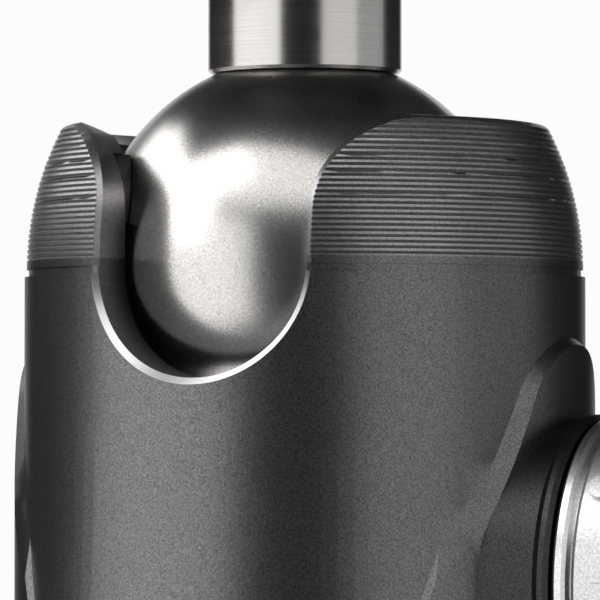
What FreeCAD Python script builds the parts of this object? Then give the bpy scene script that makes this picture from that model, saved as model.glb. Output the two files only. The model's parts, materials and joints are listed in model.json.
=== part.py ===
import FreeCAD, Part
import math
import os

from FreeCAD import Vector

# Tripod ball head, millimetres. Z runs up the panning axis, the drop notch faces -Y,
# the main lock knob stands out along +X and the pan lock knob along -X.
# The origin is the mouth of the tripod socket in the middle of the underside.

os.makedirs("parts", exist_ok=True)

# Driving dimensions: ball and casing
ball_r = 20.0
ball_z = 58.0
ball_gap = 0.1
casing_r = 26.0
casing_foot_r = 26.9
casing_bore_r = 20.5
casing_bottom = 7.3
flare_bottom = 20.0
flare_top = 44.0

# Collar: the domed, turned upper ring of the casing, heights above the ball's centre
collar_r = 25.8
collar_curve_r = 28.4
collar_corner_z = 12.5
crest_r = 21.7
crest_z = 13.3
lip_r = 18.6
lip_z = 12.1
crest_corner_r = 0.8
shadow_groove_width = 0.7
shadow_groove_depth = 0.4
rib_start = 0.95
rib_pitch = 0.49
rib_count = 25
rib_groove_width = 0.24
rib_groove_depth = 0.16
seat_ring_top = 10.4
seat_ring_bottom = 4.0

# Drop notch, heights above the ball's centre
notch_half_width = 10.0
notch_flare_z = 5.0
notch_flare_r = 8.9
notch_flare_sweep = 75.0
notch_chamfer = 0.6

# Bosses round the two side knobs: a drafted rounded triangle under one larger cylinder
boss_r = casing_foot_r
boss_nose_r = 7.5
boss_nose_z = -14.5
boss_half_angle = 18.3
boss_draft = 0.77
boss_depth = 6.9
boss_root_x = 5.0

# Shaft heights
lock_z = ball_z - 28.6
pan_z = 13.2

# Base and panning bearing
flange_top = 6.8
flange_edge = 0.5
relief_inner_r = 14.5
relief_outer_r = 22.5
relief_depth = 0.5
hub_r = 12.0
hub_top = 19.4
hub_bore_r = 2.0
hub_groove_depth = 1.0
hub_groove_half = 2.0
bush_r = 6.0
socket_r = 4.0
socket_depth = 8.2
bush_top = socket_depth + 1.0
retainer_r = 16.0
retainer_thick = 2.0
retainer_hole_r = 3.0
lower_washer_r = 20.0
collar_floor = 7.6
collar_ceiling = 18.7
bearing_gap = 0.1
screw_circle_r = 8.6
screw_count = 3
screw_r = 1.3
screw_head_r = 2.6
screw_depth = 6.5
screw_socket_r = 0.9
spanner_hole_r = 1.2
spanner_circle_r = 17.5

# Lock mechanism, places along the +X shaft
sleeve_r = 14.6
sleeve_floor = 21.8
sleeve_hollow_r = 12.0
sleeve_hollow_floor = 26.2
sleeve_lip_r = 15.3
sleeve_lip_start = 27.7
sleeve_lip_full = 28.4
sleeve_end = 29.3
sleeve_edge = 0.4
sleeve_screw_circle_r = 9.2
sleeve_screw_r = 1.25
sleeve_screw_start = 19.5
sleeve_head_r = 2.2
sleeve_head_height = 2.0
spindle_r = 3.0
spindle_start = 8.9
spindle_end = 42.0
shaft_gap = 0.2
wide_gap = 0.3
press_gap = 0.05
flange_r = 6.6
flange_thick = 1.4
inner_thrust_thick = 0.6
outer_thrust_thick = 0.5
flange_start = sleeve_floor + inner_thrust_thick + press_gap
flange_end = flange_start + flange_thick
thrust_pocket_end = flange_end + press_gap + outer_thrust_thick
wedge_r = 5.5
wedge_start = -10.0
wedge_end = 17.0
wedge_slope = 0.2
wedge_ramp_rise = 1.5
wedge_ramp_end = 7.0
wedge_bore_start = 8.0
foot_r = 5.0
foot_depth = 3.0
slide_gap = 0.08
block_top = ball_z - 22.2
cup_r = 20.2
cup_shell_r = 21.2
cup_rim_z = -11.2
cup_base_z = -21.7

# Lock knob: hub, bright ring, grip with lugs, and the friction dial in its end
lock_knob_r = 15.0
knob_neck_r = 6.4
knob_neck_start = 27.0
knob_neck_end = 29.2
knob_seat_r = 7.0
knob_start = 29.6
ring_edge = 0.3
ring_back = 30.8
ring_groove_r = 14.0
grip_start = 31.1
grip_edge = 0.4
grip_end_edge = 1.2
knob_end = 46.5
lug_height = 0.6
lug_count = 12
lug_width = 2.5
lug_start = 22.2
lug_low = 32.0
lug_high = knob_end - 1.8
dial_well_r = 7.4
dial_well_floor = 43.0
dial_hole_r = 2.2
dial_r = 7.0
dial_screw_r = 2.12
dial_start = 42.2
dial_seat = 43.2
dial_end = 48.4
dial_edge = 0.6
dial_slot_width = 1.4
dial_slot_depth = 0.8

# Pan lock, distances from the middle out along -X
pan_sleeve_r = 5.2
pan_sleeve_end = 28.8
pan_lip_r = 6.1
pan_lip_start = 27.2
pan_spindle_start = 19.4
pan_spindle_end = 38.0
pan_shoe_r = 3.0
pan_shoe_end = 19.3
pan_shoe_gap = 0.55
pan_knob_r = 10.0
pan_knob_start = 29.1
pan_knob_end = 40.4
pan_edge = 0.4
pan_lug_height = 0.5
pan_lug_count = 9
pan_lug_width = 2.6
pan_lug_low = 30.4
pan_lug_high = 39.0
pan_cap_r = 6.2
pan_cap_floor = 39.6
pan_cap_end = 40.8

# Stem
stem_r = 9.0
neck_r = 7.9
stem_shoulder = 18.4
stem_root = 17.0
stem_edge = 0.3

# Clamp, heights above its underside
clamp_z = ball_z + 29.5
clamp_floor_height = 10.0
clamp_half_length = 25.0
clamp_outer = 25.0
clamp_split = 13.0
clamp_edge = 1.0
lip_cut = 0.2
dovetail_gap = 0.08
bolt_head_r = 5.1
bolt_head_z = 5.0
bolt_head_height = 3.0
bolt_length = 8.5
bolt_hex_half = 2.0
bolt_pocket_gap = 0.1
level_x = -27.0
level_boss_r = 5.6
level_boss_low = 2.0
level_boss_high = 12.0
level_pocket_r = 4.2
level_pocket_z = 6.0
vial_r = 3.4
vial_top = 12.2
level_ring_top = 12.4

# Sliding jaw, its pins, screw and knob
jaw_inner = 13.2
jaw_outer = 24.0
jaw_foot = 0.4
pin_r = 2.0
pin_y = 16.0
pin_z = 5.4
pin_start = 2.0
pin_end = 20.5
pin_gap = 0.05
pin_hole_end = 21.5
clamp_screw_r = 2.5
clamp_screw_z = clamp_z + 6.2
clamp_screw_hole = 5.8
clamp_screw_start = 7.0
clamp_screw_end = 33.0
clamp_collar_r = 4.0
clamp_knob_r = 7.8
clamp_knob_start = 25.2
clamp_knob_end = 35.2
clamp_knob_foot_r = 5.0
clamp_knob_edge = 0.5
clamp_lug_height = 0.5
clamp_lug_count = 8
clamp_lug_width = 2.2
clamp_lug_low = 27.0
clamp_lug_high = 34.0
clamp_cap_r = 5.2
clamp_cap_floor = 34.4
clamp_cap_end = 35.6

# Quick-release plate, heights above the clamp's floor
dovetail_half = 19.0
dovetail_foot = 1.0
dovetail_cut = 2.5
dovetail_waist_top = 4.5
plate_half_width = 20.0
plate_half_length = 25.0
plate_thick = 9.0
plate_edge = 0.4
plate_gap = 0.05
screw_recess_r = 8.0
screw_recess_depth = 3.4
plate_hole_r = 2.95
pad_length = 30.0
pad_width = 13.0
pad_thick = 0.8
pad_y = 14.5

# Camera screw, heights above the clamp's floor
camera_screw_r = 3.175
camera_shank_r = 2.5
camera_head_r = 7.6
camera_head_low = 0.5
camera_head_high = 3.0
camera_head_edge = 0.2
camera_thread_low = plate_thick + 0.6
camera_thread_high = plate_thick + 5.6
camera_thread_tip = 0.6
coin_slot_width = 1.6
coin_slot_depth = 0.7

X = Vector(1, 0, 0)
Z = Vector(0, 0, 1)


def save(name, solids):
    shape = solids[0] if len(solids) == 1 else Part.makeCompound(solids)
    shape.exportStep("parts/" + name + ".step")
    print(name, "valid" if shape.isValid() else "NOT VALID", "solids", len(solids),
          "volume", round(shape.Volume, 1))


def disc(r, low, high, axis=Z, centre=Vector(0, 0, 0)):
    """A cylinder from one place on an axis to another."""
    return Part.makeCylinder(r, high - low, centre + axis * low, axis)


def along_x(z):
    """The point on the Z axis that a side shaft passes through."""
    return Vector(0, 0, z)


def spin(points, axis=Z, centre=Vector(0, 0, 0)):
    """A solid of revolution. Each point is (radius, place along the axis), and a point between
    two others written as ("arc", radius, place) bends the outline through it."""
    side = X if axis == Z else Z
    place = lambda p: centre + side * p[0] + axis * p[1]
    edges = []
    last = points[0]
    bend = None
    for point in list(points[1:]) + [points[0]]:
        if point[0] == "arc":
            bend = point[1:]
            continue
        if bend is None:
            edges.append(Part.makeLine(place(last), place(point)))
        else:
            edges.append(Part.Arc(place(last), place(bend), place(point)).toShape())
        last = point
        bend = None
    return Part.Face(Part.Wire(edges)).revolve(centre, axis, 360)


def ring(outer, inner, low, high, axis=Z, centre=Vector(0, 0, 0)):
    return disc(outer, low, high, axis, centre).cut(disc(inner, low - 1, high + 1, axis, centre))


def around(shape, count, centre, axis, start=0.0):
    """Copies of a shape evenly spaced round an axis."""
    copies = []
    for index in range(count):
        copy = shape.copy()
        copy.rotate(centre, axis, start + index * 360.0 / count)
        copies.append(copy)
    return copies


def mirrored(shape):
    return shape.mirror(Vector(0, 0, 0), X)


def ball_centre():
    return Vector(0, 0, ball_z)


def collar_outline_r(height):
    """Radius of the domed collar at a height above the ball's centre."""
    return collar_r - collar_curve_r + math.sqrt(collar_curve_r ** 2 - height ** 2)


def notch_prism(grow, reach):
    """The U of the drop notch, opening out to the rim, pushed through the front wall."""
    half = notch_half_width + grow
    flare = notch_flare_r - grow
    sweep = math.radians(notch_flare_sweep)
    centre_x = notch_half_width + notch_flare_r
    end_x = centre_x - flare * math.cos(sweep)
    end_z = notch_flare_z + flare * math.sin(sweep)
    mid_x = centre_x - flare * math.cos(sweep / 2)
    mid_z = notch_flare_z + flare * math.sin(sweep / 2)
    rise = 4.0
    out_x = end_x + rise / math.tan(math.radians(90 - notch_flare_sweep))
    point = lambda x, z: Vector(x, -reach, ball_z + z)
    right = [
        Part.makeLine(point(half, 0), point(half, notch_flare_z)),
        Part.Arc(point(half, notch_flare_z), point(mid_x, mid_z), point(end_x, end_z)).toShape(),
        Part.makeLine(point(end_x, end_z), point(out_x, end_z + rise)),
    ]
    left = [
        Part.makeLine(point(-out_x, end_z + rise), point(-end_x, end_z)),
        Part.Arc(point(-end_x, end_z), point(-mid_x, mid_z), point(-half, notch_flare_z)).toShape(),
        Part.makeLine(point(-half, notch_flare_z), point(-half, 0)),
    ]
    bottom = Part.Arc(point(-half, 0), point(0, -half), point(half, 0)).toShape()
    roof = Part.makeLine(point(out_x, end_z + rise), point(-out_x, end_z + rise))
    outline = Part.Wire(right + [roof] + left + [bottom])
    return Part.Face(outline).extrude(Vector(0, reach, 0))


def boss_outline(x, grow):
    """The rounded triangle of a side boss in the plane at x, running down to the foot."""
    angle = math.radians(boss_half_angle)
    nose = boss_nose_r + grow
    nose_z = ball_z + boss_nose_z
    turn_y = nose * math.cos(angle)
    turn_z = nose_z + nose * math.sin(angle)
    drop = turn_z - casing_bottom
    foot_y = turn_y + drop * math.tan(angle)
    point = lambda y, z: Vector(x, y, z)
    return Part.Wire([
        Part.makeLine(point(-foot_y, casing_bottom), point(-turn_y, turn_z)),
        Part.Arc(point(-turn_y, turn_z), point(0, nose_z + nose), point(turn_y, turn_z)).toShape(),
        Part.makeLine(point(turn_y, turn_z), point(foot_y, casing_bottom)),
        Part.makeLine(point(foot_y, casing_bottom), point(-foot_y, casing_bottom)),
    ])


def boss():
    """Drafted face near the knob, then straight walls in to the barrel."""
    grow = boss_depth * boss_draft
    inner = boss_outline(boss_r - boss_depth, grow)
    face = Part.makeLoft([inner, boss_outline(boss_r, 0.0)], True, True)
    walls = Part.Face(inner).extrude(Vector(boss_root_x - (boss_r - boss_depth), 0, 0))
    block = face.fuse(walls)
    return block.common(disc(boss_r, casing_bottom, ball_z))


def lower_barrel():
    """The plain barrel below the collar, easing out to the wider foot."""
    middle = (flare_bottom + flare_top) / 2
    quarter_r = casing_r + (casing_foot_r - casing_r) / 4
    return spin([
        (casing_bore_r, casing_bottom), (casing_foot_r - 0.4, casing_bottom),
        (casing_foot_r, casing_bottom + 0.4), (casing_foot_r, flare_bottom),
        ("arc", quarter_r, middle), (casing_r, flare_top),
        (casing_r, ball_z), (casing_bore_r, ball_z),
    ])


def domed_blank():
    """The collar's dome carried on above the rim, before its crest is turned."""
    top = crest_z + 2.0
    seat_top = ball_z + seat_ring_top
    return spin([
        (casing_bore_r, ball_z), (collar_r, ball_z),
        ("arc", collar_outline_r(top / 2), ball_z + top / 2), (collar_outline_r(top), ball_z + top),
        (lip_r, ball_z + top), (lip_r, seat_top), (casing_bore_r, seat_top),
    ])


def above_crest():
    """What the crest's turning takes off: the rounded outer corner and the dished top."""
    corner_r = collar_outline_r(collar_corner_z)
    outer = casing_r + 5
    return spin([
        (lip_r - 1, ball_z + lip_z - 0.4), (lip_r, ball_z + lip_z), (crest_r, ball_z + crest_z),
        ("arc", crest_r + crest_corner_r, ball_z + crest_z - 0.2),
        (corner_r, ball_z + collar_corner_z), (outer, ball_z + collar_corner_z - 3),
        (outer, ball_z + crest_z + 4), (lip_r - 1, ball_z + crest_z + 4),
    ])


def rib_grooves():
    """The fine grooves turned one above another round the dome, that leave ribs between them."""
    grooves = []
    half = rib_groove_width / 2
    for index in range(rib_count):
        height = rib_start + index * rib_pitch
        skin = collar_outline_r(height)
        lean = height / collar_curve_r
        proud = 0.1
        grooves.append(spin([
            (skin - rib_groove_depth, ball_z + height - lean * rib_groove_depth),
            (skin + proud, ball_z + height + half + 0.1),
            (skin + proud, ball_z + height - half - 0.1),
        ]))
    return grooves


def outer_notch_edges(shape, barrel_r):
    """The edges where the notch meets the outside skin: a barrel's, or without one the dome's."""
    found = []
    for edge in shape.Edges:
        points = [vertex.Point for vertex in edge.Vertexes]
        points.append(edge.valueAt((edge.FirstParameter + edge.LastParameter) / 2))
        heights = [p.z - ball_z for p in points]
        on_notch = all(notch_clearance(p.x, h) < 0.01 for p, h in zip(points, heights))
        skins = [barrel_r or collar_outline_r(h) for h in heights]
        on_skin = all(abs(math.hypot(p.x, p.y) - r) < 0.01 for p, r in zip(points, skins))
        if on_notch and on_skin:
            found.append(edge)
    return found


def notch_clearance(x, height):
    """Distance in the front view from a point to the notch outline."""
    side = abs(x)
    if height <= 0:
        return abs(math.hypot(side, height) - notch_half_width)
    if height <= notch_flare_z:
        return abs(side - notch_half_width)
    centre_x = notch_half_width + notch_flare_r
    return abs(math.hypot(side - centre_x, height - notch_flare_z) - notch_flare_r)


def casing():
    notch = notch_prism(0.0, casing_r + 10)
    barrel = lower_barrel().cut(notch)
    barrel = barrel.makeChamfer(notch_chamfer, outer_notch_edges(barrel, casing_r))
    half_space = Part.makeBox(50, 100, 50, Vector(-50, -50, ball_z - 10))
    half = domed_blank().cut(notch).common(half_space)
    half = half.makeChamfer(notch_chamfer, outer_notch_edges(half, 0)[:1]).cut(above_crest())
    collar = half.fuse(mirrored(half))
    right_boss = boss().cut(disc(casing_bore_r, 0, ball_z))
    body = barrel.fuse([collar, right_boss, mirrored(right_boss)]).removeSplitter()
    body = body.cut(ring(casing_r + 5, casing_r - shadow_groove_depth,
                         ball_z - shadow_groove_width, ball_z))
    body = body.cut(rib_grooves())
    lock_axis = along_x(lock_z)
    body = body.cut(disc(sleeve_r, sleeve_floor, casing_foot_r + 10, X, lock_axis))
    body = body.cut(disc(spindle_r + wide_gap, 10, casing_foot_r, X, lock_axis))
    for spot in sleeve_screw_spots():
        body = body.cut(disc(sleeve_screw_r, sleeve_screw_start, sleeve_floor + 1, X, spot))
    body = body.cut(disc(pan_sleeve_r, -casing_foot_r - 5, -15, X, along_x(pan_z)))
    return body


def sleeve_screw_spots():
    """Where the four sleeve screws cross the plane x = 0, clear of the thin wall in the middle."""
    spots = []
    for angle in (30, 150, 210, 330):
        turn = math.radians(angle)
        across = sleeve_screw_circle_r * math.cos(turn)
        spots.append(Vector(0, across, lock_z + sleeve_screw_circle_r * math.sin(turn)))
    return spots


def sphere_at(r):
    return Part.makeSphere(r, ball_centre())


def seat_ring():
    """The plastic ring under the lip that the ball is pushed up against, open at the notch."""
    seat = ring(casing_bore_r, 15.0, ball_z + seat_ring_bottom, ball_z + seat_ring_top)
    seat = seat.cut(sphere_at(ball_r + ball_gap))
    return seat.cut(notch_prism(0.3, casing_r + 10))


def ball():
    return sphere_at(ball_r)


def stem():
    """Concave foot on the ball, undercut neck, straight shank."""
    top = clamp_z - press_gap - ball_z
    shank = spin([
        (0, stem_root), (neck_r + 0.6, stem_root), ("arc", neck_r + 0.1, stem_root + 0.75),
        (neck_r, stem_shoulder - stem_edge), (stem_r - stem_edge, stem_shoulder - stem_edge / 2),
        (stem_r, stem_shoulder + stem_edge / 2), (stem_r, top - stem_edge),
        (stem_r - stem_edge, top), (0, top),
    ], Z, ball_centre())
    shank = shank.cut(sphere_at(ball_r + press_gap))
    return shank.cut(disc(spindle_r + press_gap, clamp_z - bolt_length - 0.5, clamp_z + 1))


def base_plate():
    """Round flange that stands on the tripod, relieved underneath to leave two landing rings."""
    return spin([
        (bush_r, 0), (relief_inner_r, 0), (relief_inner_r, relief_depth),
        (relief_outer_r, relief_depth), (relief_outer_r, 0), (casing_foot_r - flange_edge, 0),
        (casing_foot_r, flange_edge), (casing_foot_r, flange_top - flange_edge),
        (casing_foot_r - flange_edge, flange_top), (bush_r, flange_top),
    ])


def pan_hub():
    """Bearing hub on the flange, with the groove that the pan lock's shoe presses into."""
    floor_r = hub_r - hub_groove_depth
    floor_half = hub_groove_half - hub_groove_depth
    hub = spin([
        (bush_r, flange_top), (hub_r, flange_top), (hub_r, pan_z - hub_groove_half),
        (floor_r, pan_z - floor_half), (floor_r, pan_z + floor_half),
        (hub_r, pan_z + hub_groove_half), (hub_r, hub_top), (hub_bore_r, hub_top),
        (hub_bore_r, bush_top), (bush_r, bush_top),
    ])
    hole = disc(screw_r, hub_top - screw_depth - 0.5, hub_top + 1, Z, screw_spot())
    for copy in round_the_hub(hole):
        hub = hub.cut(copy)
    return hub


def screw_spot():
    return Vector(screw_circle_r, 0, 0)


def round_the_hub(shape):
    return around(shape, screw_count, Vector(0, 0, 0), Z, 30)


def tripod_bush():
    """Steel bush with the tripod socket in it, closed at the top."""
    return spin([
        (socket_r, 0), (bush_r, 0), (bush_r, bush_top), (0, bush_top),
        (0, socket_depth), (socket_r, socket_depth),
    ])


def countersunk(top, extra):
    """Outline of a countersunk screw with its head's face at a height, carried on above it."""
    outline = [
        (0, hub_top - screw_depth), (screw_r, hub_top - screw_depth),
        (screw_r, top - screw_head_r + screw_r), (screw_head_r, top),
    ]
    if extra > 0:
        outline = outline + [(screw_head_r, top + extra)]
    return spin(outline + [(0, top + extra)], Z, screw_spot())


def pan_retainer():
    """Plate on top of the hub that keeps the casing from lifting off."""
    top = hub_top + retainer_thick
    plate = ring(retainer_r, retainer_hole_r, hub_top, top)
    for cone in round_the_hub(countersunk(top, 1.0)):
        plate = plate.cut(cone)
    return plate


def retainer_screws():
    top = hub_top + retainer_thick
    screw = countersunk(top, 0.0)
    screw = screw.cut(disc(screw_socket_r, top - 1.0, top + 1, Z, screw_spot()))
    return round_the_hub(screw)


def pan_washer_lower():
    return ring(lower_washer_r, hub_r + wide_gap, flange_top, collar_floor - bearing_gap)


def pan_washer_upper():
    return ring(retainer_r - shaft_gap, hub_r + wide_gap, collar_ceiling + bearing_gap, hub_top)


def pan_collar():
    """Threaded ring that closes the casing and runs on the hub, with two spanner holes."""
    collar = ring(casing_bore_r, hub_r + bearing_gap, collar_floor, collar_ceiling)
    collar = collar.cut(disc(pan_shoe_r + slide_gap, -casing_bore_r - 5, 0, X, along_x(pan_z)))
    for side in (-1, 1):
        spot = Vector(0, side * spanner_circle_r, 0)
        collar = collar.cut(disc(spanner_hole_r, collar_floor - 1, collar_floor + 2, Z, spot))
    return collar


def lock_block():
    """Guides the wedge across and the cup's foot up and down."""
    block = disc(casing_bore_r, hub_top + retainer_thick + 0.5, block_top)
    guide = disc(wedge_r + slide_gap, wedge_start - 1.6, casing_r, X, along_x(lock_z))
    return block.cut(guide).cut(disc(foot_r + slide_gap, lock_z, ball_z))


def incline(gap):
    """Everything above the wedge's sloping top, which is high at its -X end."""
    reach = 40.0
    level = lock_z + wedge_ramp_rise + gap
    rise = reach * wedge_slope
    point = lambda x, z: Vector(x, -reach / 2, z)
    corners = [point(-reach, level + rise), point(reach, level - rise),
               point(reach, level + reach), point(-reach, level + reach)]
    face = Part.Face(Part.makePolygon(corners + corners[:1]))
    return face.extrude(Vector(0, reach, 0))


def lock_wedge():
    """Round pin with a sloping flat, pushed across by the spindle to lift the cup."""
    pin = disc(wedge_r, wedge_start, wedge_end, X, along_x(lock_z))
    width = 4 * wedge_r
    sloped = Part.makeBox(wedge_ramp_end - wedge_start + 1, width, width,
                          Vector(wedge_start - 1, -width / 2, lock_z - wedge_r))
    pin = pin.cut(incline(0.0).common(sloped))
    return pin.cut(disc(spindle_r + press_gap, wedge_bore_start, wedge_end + 1, X, along_x(lock_z)))


def ball_cup():
    """Cup under the ball, on a foot whose end rests on the wedge."""
    base = ball_z + cup_base_z
    cup = disc(cup_r, base, ball_z + cup_rim_z).cut(sphere_at(cup_shell_r))
    foot = disc(foot_r, lock_z - foot_depth, base).common(incline(0.03))
    return cup.fuse(foot).removeSplitter()


def cup_liner():
    """Thin plastic shell between the cup and the ball."""
    shell = sphere_at(cup_shell_r).cut(sphere_at(ball_r + ball_gap))
    return shell.common(disc(cup_r, ball_z + cup_base_z, ball_z + cup_rim_z))


def knob_sleeve():
    """Sleeve standing out of the boss, with a wider lip, that holds the spindle's flange in."""
    bore_r = spindle_r + shaft_gap
    pocket_r = flange_r + wide_gap
    sleeve = spin([
        (bore_r, thrust_pocket_end), (bore_r, sleeve_hollow_floor),
        (sleeve_hollow_r, sleeve_hollow_floor), (sleeve_hollow_r, sleeve_end),
        (sleeve_lip_r - sleeve_edge, sleeve_end), (sleeve_lip_r, sleeve_end - sleeve_edge),
        (sleeve_lip_r, sleeve_lip_full), (sleeve_r, sleeve_lip_start), (sleeve_r, sleeve_floor),
        (pocket_r, sleeve_floor), (pocket_r, thrust_pocket_end),
    ], X, along_x(lock_z))
    for spot in sleeve_screw_spots():
        sleeve = sleeve.cut(disc(sleeve_screw_r, sleeve_floor - 1, sleeve_end, X, spot))
    return sleeve


def sleeve_screws():
    """Four screws inside the sleeve that hold it on the casing."""
    screws = []
    head_end = sleeve_hollow_floor + sleeve_head_height
    for spot in sleeve_screw_spots():
        shank = disc(sleeve_screw_r, sleeve_screw_start, sleeve_hollow_floor, X, spot)
        head = disc(sleeve_head_r, sleeve_hollow_floor, head_end, X, spot)
        socket = disc(screw_socket_r, head_end - 1.2, head_end + 1, X, spot)
        screws.append(shank.fuse(head).removeSplitter().cut(socket))
    return screws


def spindle_washers():
    """Thrust washers on both sides of the spindle's flange."""
    centre = along_x(lock_z)
    outer = flange_r + shaft_gap
    inner = spindle_r + wide_gap
    low = flange_end + press_gap
    return [ring(outer, inner, sleeve_floor, flange_start - press_gap, X, centre),
            ring(outer, inner, low, low + outer_thrust_thick, X, centre)]


def lock_spindle():
    """Spindle with the flange that the thrust washers run on."""
    centre = along_x(lock_z)
    rod = disc(spindle_r, spindle_start, spindle_end, X, centre)
    return rod.fuse(disc(flange_r, flange_start, flange_end, X, centre)).removeSplitter()


def lug(r, base_r, low, high, width):
    """One raised grip lug with round ends, standing on a knob's side along its axis."""
    half = width / 2
    point = lambda x, y: Vector(x, y, 0)
    outline = Part.Wire([
        Part.makeLine(point(low + half, -half), point(high - half, -half)),
        Part.Arc(point(high - half, -half), point(high, 0), point(high - half, half)).toShape(),
        Part.makeLine(point(high - half, half), point(low + half, half)),
        Part.Arc(point(low + half, half), point(low, 0), point(low + half, -half)).toShape(),
    ])
    bar = Part.Face(outline).extrude(Vector(0, 0, r + 1))
    return bar.common(disc(r, low - 1, high + 1, X)).cut(disc(base_r - 0.5, low - 1, high + 1, X))


def lugged(grip, bar, count, start, height):
    """A turned grip with its lugs fused on, moved up to its own axis."""
    whole = grip.fuse(around(bar, count, Vector(0, 0, 0), X, start)).removeSplitter()
    whole.translate(along_x(height))
    return whole


def lock_knob():
    """Hollow grip with raised lugs round it, on a hub that the spindle is fixed in."""
    base_r = lock_knob_r - lug_height
    grip = spin([
        (spindle_r, knob_neck_start), (knob_neck_r, knob_neck_start), (knob_neck_r, knob_neck_end),
        (knob_seat_r, knob_neck_end), (knob_seat_r, grip_start), (base_r - grip_edge, grip_start),
        (base_r, grip_start + grip_edge), (base_r, knob_end - grip_end_edge),
        (base_r - grip_end_edge, knob_end), (dial_well_r, knob_end), (dial_well_r, dial_well_floor),
        (dial_hole_r, dial_well_floor), (dial_hole_r, spindle_end), (spindle_r, spindle_end),
    ], X)
    bar = lug(lock_knob_r, base_r, lug_low, lug_high, lug_width)
    return lugged(grip, bar, lug_count, lug_start, lock_z)


def lock_knob_ring():
    """Bright turned ring between the sleeve and the grip, with a narrow groove behind it."""
    return spin([
        (knob_seat_r, knob_start), (lock_knob_r - ring_edge, knob_start),
        (lock_knob_r, knob_start + ring_edge), (lock_knob_r, ring_back - ring_edge),
        (lock_knob_r - ring_edge, ring_back), (ring_groove_r, ring_back),
        (ring_groove_r, grip_start), (knob_seat_r, grip_start),
    ], X, along_x(lock_z))


def friction_dial():
    """Small disc in the end of the knob, on a screw that reaches down its middle."""
    dial = spin([
        (0, dial_start), (dial_screw_r, dial_start), (dial_screw_r, dial_seat), (dial_r, dial_seat),
        (dial_r, dial_end - dial_edge), (dial_r - dial_edge, dial_end), (0, dial_end),
    ], X, along_x(lock_z))
    corner = Vector(dial_end - dial_slot_depth, -dial_r, lock_z - dial_slot_width / 2)
    return dial.cut(Part.makeBox(2 * dial_slot_depth, 2 * dial_r, dial_slot_width, corner))


def pan_sleeve():
    """Small flanged sleeve that carries the pan lock's spindle through the casing."""
    centre = along_x(pan_z)
    sleeve = disc(pan_sleeve_r, -pan_sleeve_end, -casing_bore_r, X, centre)
    sleeve = sleeve.fuse(disc(pan_lip_r, -pan_sleeve_end, -pan_lip_start, X, centre))
    bore = disc(spindle_r + press_gap, -pan_sleeve_end - 1, 0, X, centre)
    return sleeve.removeSplitter().cut(bore)


def pan_spindle():
    return disc(spindle_r, -pan_spindle_end, -pan_spindle_start, X, along_x(pan_z))


def pan_shoe():
    return disc(pan_shoe_r, -pan_shoe_end, -hub_r - pan_shoe_gap, X, along_x(pan_z))


def pan_knob():
    """Small lugged grip of the pan lock."""
    base_r = pan_knob_r - pan_lug_height
    grip = spin([
        (spindle_r, pan_knob_start), (base_r - pan_edge, pan_knob_start),
        (base_r, pan_knob_start + pan_edge), (base_r, pan_knob_end - 2 * pan_edge),
        (base_r - 2 * pan_edge, pan_knob_end), (pan_cap_r, pan_knob_end),
        (pan_cap_r, pan_cap_floor), (spindle_r, pan_cap_floor),
    ], X)
    bar = lug(pan_knob_r, base_r, pan_lug_low, pan_lug_high, pan_lug_width)
    return mirrored(lugged(grip, bar, pan_lug_count, 0.0, pan_z))


def pan_knob_cap():
    return disc(pan_cap_r, -pan_cap_end, -pan_cap_floor, X, along_x(pan_z))


def clamp_floor():
    return clamp_z + clamp_floor_height


def dovetail_side(grow):
    """One side of the plate's dovetail: foot, slope at 45 degrees, waist under the slab."""
    low = clamp_floor()
    wide = dovetail_half + grow
    return [
        (wide, low), (wide, low + dovetail_foot),
        (wide - dovetail_cut, low + dovetail_foot + dovetail_cut),
        (wide - dovetail_cut, low + dovetail_waist_top),
    ]


def bar_of(outline, half_length):
    """A front-view outline carried from -Y to +Y."""
    points = [Vector(x, -half_length, z) for x, z in outline]
    return Part.Face(Part.makePolygon(points + points[:1])).extrude(Vector(0, 2 * half_length, 0))


def plate():
    """Quick-release plate: dovetail below, slab above, recess for the camera screw's head."""
    low = clamp_floor()
    top = low + plate_thick
    right = [(x, z + plate_gap) for x, z in dovetail_side(0.0)]
    right = right + [
        (plate_half_width, low + dovetail_waist_top + plate_gap),
        (plate_half_width, top - plate_edge), (plate_half_width - plate_edge, top),
    ]
    body = bar_of(right + [(-x, z) for x, z in reversed(right)], plate_half_length)
    body = body.cut(disc(screw_recess_r, low - 1, low + screw_recess_depth))
    return body.cut(disc(plate_hole_r, low, top + 1))


def plate_pads():
    """Two rubber pads on top of the plate, one on each side of the screw."""
    top = clamp_floor() + plate_thick
    pads = []
    for side in (-1, 1):
        corner = Vector(-pad_length / 2, side * pad_y - pad_width / 2, top)
        pads.append(Part.makeBox(pad_length, pad_width, pad_thick, corner))
    return pads


def camera_screw():
    """Screw held captive in the plate, with a coin slot in its head."""
    low = clamp_floor()
    tip_r = camera_screw_r - camera_thread_tip
    tip = camera_thread_high + camera_thread_tip
    outline = [
        (0, camera_head_low), (camera_head_r - camera_head_edge, camera_head_low),
        (camera_head_r, camera_head_low + camera_head_edge),
        (camera_head_r, camera_head_high - camera_head_edge),
        (camera_head_r - camera_head_edge, camera_head_high), (camera_shank_r, camera_head_high),
        (camera_shank_r, camera_thread_low), (camera_screw_r, camera_thread_low),
        (camera_screw_r, camera_thread_high), (tip_r, tip), (0, tip),
    ]
    screw = spin(outline, Z, Vector(0, 0, low))
    corner = Vector(-coin_slot_width / 2, -camera_head_r - 1, low)
    slot = Part.makeBox(coin_slot_width, 2 * camera_head_r + 2, camera_head_low + coin_slot_depth, corner)
    return screw.cut(slot)


def pin_spots():
    return [Vector(0, side * pin_y, clamp_z + pin_z) for side in (-1, 1)]


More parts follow.
